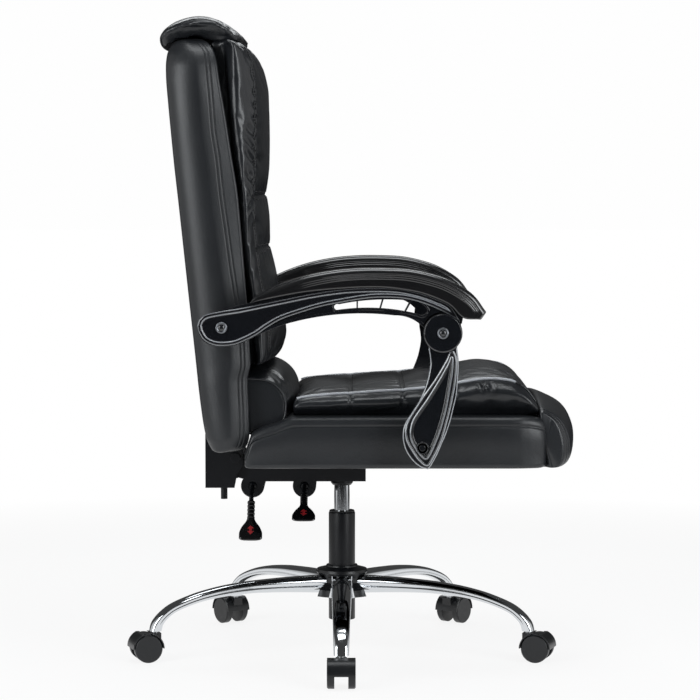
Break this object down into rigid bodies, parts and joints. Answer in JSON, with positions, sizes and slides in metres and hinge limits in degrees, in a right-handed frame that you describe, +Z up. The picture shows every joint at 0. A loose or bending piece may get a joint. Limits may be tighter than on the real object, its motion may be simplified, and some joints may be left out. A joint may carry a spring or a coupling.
{
  "type": "reclining office chair",
  "caption": "High-backed reclining office chair: padded black seat and back, linked armrests, gas lift, chromed star base on twin-wheel casters.",
  "frame": {"origin": "on the floor under the middle of the gas column", "axes": "+X is the way the sitter faces, +Y is the sitter's left, +Z is up"},
  "size_m": [0.8034, 0.7294, 1.145],
  "materials": {
    "black_leather": "soft satin, fine grain",
    "black_plastic": "satin moulded",
    "gloss_black": "gloss moulded",
    "soft_black": "soft satin skin",
    "chrome_tube": "polished",
    "black_steel": "satin powder coat",
    "zinc_steel": "bright zinc",
    "white_plastic": "matte moulded",
    "plywood": "bare"
  },
  "bodies": {
    "base": {"star_base": "chrome_tube", "base_cover": "black_plastic", "caster_stems": "zinc_steel", "column_tube": "black_steel", "guide_bush": "white_plastic", "thrust_bearing": "zinc_steel"},
    "piston": {"piston_rod": "zinc_steel", "retaining_clip": "zinc_steel"},
    "seat": {"lift_cylinder": "chrome_tube", "mechanism_tray": "black_steel", "recline_shaft": "zinc_steel", "return_springs": "zinc_steel", "seat_board": "plywood", "seat_box": "black_leather", "seat_pad": "black_leather", "seat_bolts": "zinc_steel", "link_bolts": "zinc_steel"},
    "back": {"back_bracket": "black_steel", "bracket_bolts": "zinc_steel", "back_board": "plywood", "back_shell": "black_leather", "back_pad": "black_leather", "head_roll": "black_leather", "lumbar_roll": "black_leather", "rear_bolts": "zinc_steel"},
    "arm_right": {"arm_frame_right": "black_plastic", "arm_pad_right": "soft_black"},
    "link_right": {"arm_link_right": "black_plastic", "pivot_disc_right": "black_plastic", "front_bolt_right": "zinc_steel"},
    "arm_left": {"arm_frame_left": "black_plastic", "arm_pad_left": "soft_black"},
    "link_left": {"arm_link_left": "black_plastic", "pivot_disc_left": "black_plastic", "front_bolt_left": "zinc_steel"},
    "height_lever": {"height_lever": "zinc_steel", "height_paddle": "gloss_black"},
    "recline_lever": {"recline_lever": "zinc_steel", "recline_paddle": "gloss_black"},
    "valve": {"valve_pin": "zinc_steel"},
    "caster_1": {"caster_hood_1": "black_plastic", "caster_axle_1": "zinc_steel"},
    "caster_1_wheel_right": {"caster_wheel_1_right": "black_plastic"},
    "caster_1_wheel_left": {"caster_wheel_1_left": "black_plastic"},
    "caster_2": {"caster_hood_2": "black_plastic", "caster_axle_2": "zinc_steel"},
    "caster_2_wheel_right": {"caster_wheel_2_right": "black_plastic"},
    "caster_2_wheel_left": {"caster_wheel_2_left": "black_plastic"},
    "caster_3": {"caster_hood_3": "black_plastic", "caster_axle_3": "zinc_steel"},
    "caster_3_wheel_right": {"caster_wheel_3_right": "black_plastic"},
    "caster_3_wheel_left": {"caster_wheel_3_left": "black_plastic"},
    "caster_4": {"caster_hood_4": "black_plastic", "caster_axle_4": "zinc_steel"},
    "caster_4_wheel_right": {"caster_wheel_4_right": "black_plastic"},
    "caster_4_wheel_left": {"caster_wheel_4_left": "black_plastic"},
    "caster_5": {"caster_hood_5": "black_plastic", "caster_axle_5": "zinc_steel"},
    "caster_5_wheel_right": {"caster_wheel_5_right": "black_plastic"},
    "caster_5_wheel_left": {"caster_wheel_5_left": "black_plastic"}
  },
  "joints": [
    {"name": "column_swivel", "type": "hinge", "parent": "base", "child": "piston", "pos_m": [0, 0, 0.06], "axis": [0, 0, 1], "continuous": true},
    {"name": "seat_lift", "type": "slide", "parent": "piston", "child": "seat", "axis": [0, 0, 1], "range_m": [0, 0.1]},
    {"name": "recline", "type": "hinge", "parent": "seat", "child": "back", "pos_m": [-0.19, 0, 0.36], "axis": [0, -1, 0], "range_deg": [0, 38]},
    {"name": "arm_right_turn", "type": "hinge", "parent": "back", "child": "arm_right", "pos_m": [-0.203, -0.3, 0.608], "axis": [0, 1, 0], "range_deg": [0, 34]},
    {"name": "link_right_turn", "type": "hinge", "parent": "arm_right", "child": "link_right", "pos_m": [0.172, -0.3, 0.599], "axis": [0, -1, 0], "range_deg": [0, 41.5]},
    {"name": "arm_left_turn", "type": "hinge", "parent": "back", "child": "arm_left", "pos_m": [-0.203, 0.3, 0.608], "axis": [0, 1, 0], "range_deg": [0, 34]},
    {"name": "link_left_turn", "type": "hinge", "parent": "arm_left", "child": "link_left", "pos_m": [0.172, 0.3, 0.599], "axis": [0, -1, 0], "range_deg": [0, 41.5]},
    {"name": "height_lever_pull", "type": "hinge", "parent": "seat", "child": "height_lever", "pos_m": [-0.067, -0.061, 0.308], "axis": [-1, 0, 0], "range_deg": [0, 2.8], "stiffness_Nm_per_rad": 3, "springref_deg": -2.86},
    {"name": "recline_lever_pull", "type": "hinge", "parent": "seat", "child": "recline_lever", "pos_m": [-0.16, -0.061, 0.308], "axis": [-1, 0, 0], "range_deg": [0, 8], "stiffness_Nm_per_rad": 1.5, "springref_deg": -5.73},
    {"name": "valve_press", "type": "slide", "parent": "seat", "child": "valve", "axis": [0, 0, -1], "range_m": [0, 0.0032]},
    {"name": "caster_1_swivel", "type": "hinge", "parent": "base", "child": "caster_1", "pos_m": [0, -0.35, 0.05], "axis": [0, 0, 1], "continuous": true},
    {"name": "caster_1_wheel_right_spin", "type": "hinge", "parent": "caster_1", "child": "caster_1_wheel_right", "pos_m": [0, -0.367, 0.025], "axis": [1, 0, 0], "continuous": true},
    {"name": "caster_1_wheel_left_spin", "type": "hinge", "parent": "caster_1", "child": "caster_1_wheel_left", "pos_m": [0, -0.367, 0.025], "axis": [1, 0, 0], "continuous": true},
    {"name": "caster_2_swivel", "type": "hinge", "parent": "base", "child": "caster_2", "pos_m": [0.33287, -0.10816, 0.05], "axis": [0, 0, 1], "continuous": true},
    {"name": "caster_2_wheel_right_spin", "type": "hinge", "parent": "caster_2", "child": "caster_2_wheel_right", "pos_m": [0.34904, -0.11341, 0.025], "axis": [0.309, 0.9511, 0], "continuous": true},
    {"name": "caster_2_wheel_left_spin", "type": "hinge", "parent": "caster_2", "child": "caster_2_wheel_left", "pos_m": [0.34904, -0.11341, 0.025], "axis": [0.309, 0.9511, 0], "continuous": true},
    {"name": "caster_3_swivel", "type": "hinge", "parent": "base", "child": "caster_3", "pos_m": [0.20572, 0.28316, 0.05], "axis": [0, 0, 1], "continuous": true},
    {"name": "caster_3_wheel_right_spin", "type": "hinge", "parent": "caster_3", "child": "caster_3_wheel_right", "pos_m": [0.21572, 0.29691, 0.025], "axis": [-0.809, 0.5878, 0], "continuous": true},
    {"name": "caster_3_wheel_left_spin", "type": "hinge", "parent": "caster_3", "child": "caster_3_wheel_left", "pos_m": [0.21572, 0.29691, 0.025], "axis": [-0.809, 0.5878, 0], "continuous": true},
    {"name": "caster_4_swivel", "type": "hinge", "parent": "base", "child": "caster_4", "pos_m": [-0.20572, 0.28316, 0.05], "axis": [0, 0, 1], "continuous": true},
    {"name": "caster_4_wheel_right_spin", "type": "hinge", "parent": "caster_4", "child": "caster_4_wheel_right", "pos_m": [-0.21572, 0.29691, 0.025], "axis": [-0.809, -0.5878, 0], "continuous": true},
    {"name": "caster_4_wheel_left_spin", "type": "hinge", "parent": "caster_4", "child": "caster_4_wheel_left", "pos_m": [-0.21572, 0.29691, 0.025], "axis": [-0.809, -0.5878, 0], "continuous": true},
    {"name": "caster_5_swivel", "type": "hinge", "parent": "base", "child": "caster_5", "pos_m": [-0.33287, -0.10816, 0.05], "axis": [0, 0, 1], "continuous": true},
    {"name": "caster_5_wheel_right_spin", "type": "hinge", "parent": "caster_5", "child": "caster_5_wheel_right", "pos_m": [-0.34904, -0.11341, 0.025], "axis": [0.309, -0.9511, 0], "continuous": true},
    {"name": "caster_5_wheel_left_spin", "type": "hinge", "parent": "caster_5", "child": "caster_5_wheel_left", "pos_m": [-0.34904, -0.11341, 0.025], "axis": [0.309, -0.9511, 0], "continuous": true}
  ],
  "couplings": [
    {"joint": "arm_right_turn", "follows": "recline", "ratio": 0.8883},
    {"joint": "link_right_turn", "follows": "recline", "ratio": 1.0871},
    {"joint": "arm_left_turn", "follows": "recline", "ratio": 0.8883},
    {"joint": "link_left_turn", "follows": "recline", "ratio": 1.0871},
    {"joint": "valve_press", "follows": "height_lever_pull", "m_per_rad": 0.0634}
  ]
}
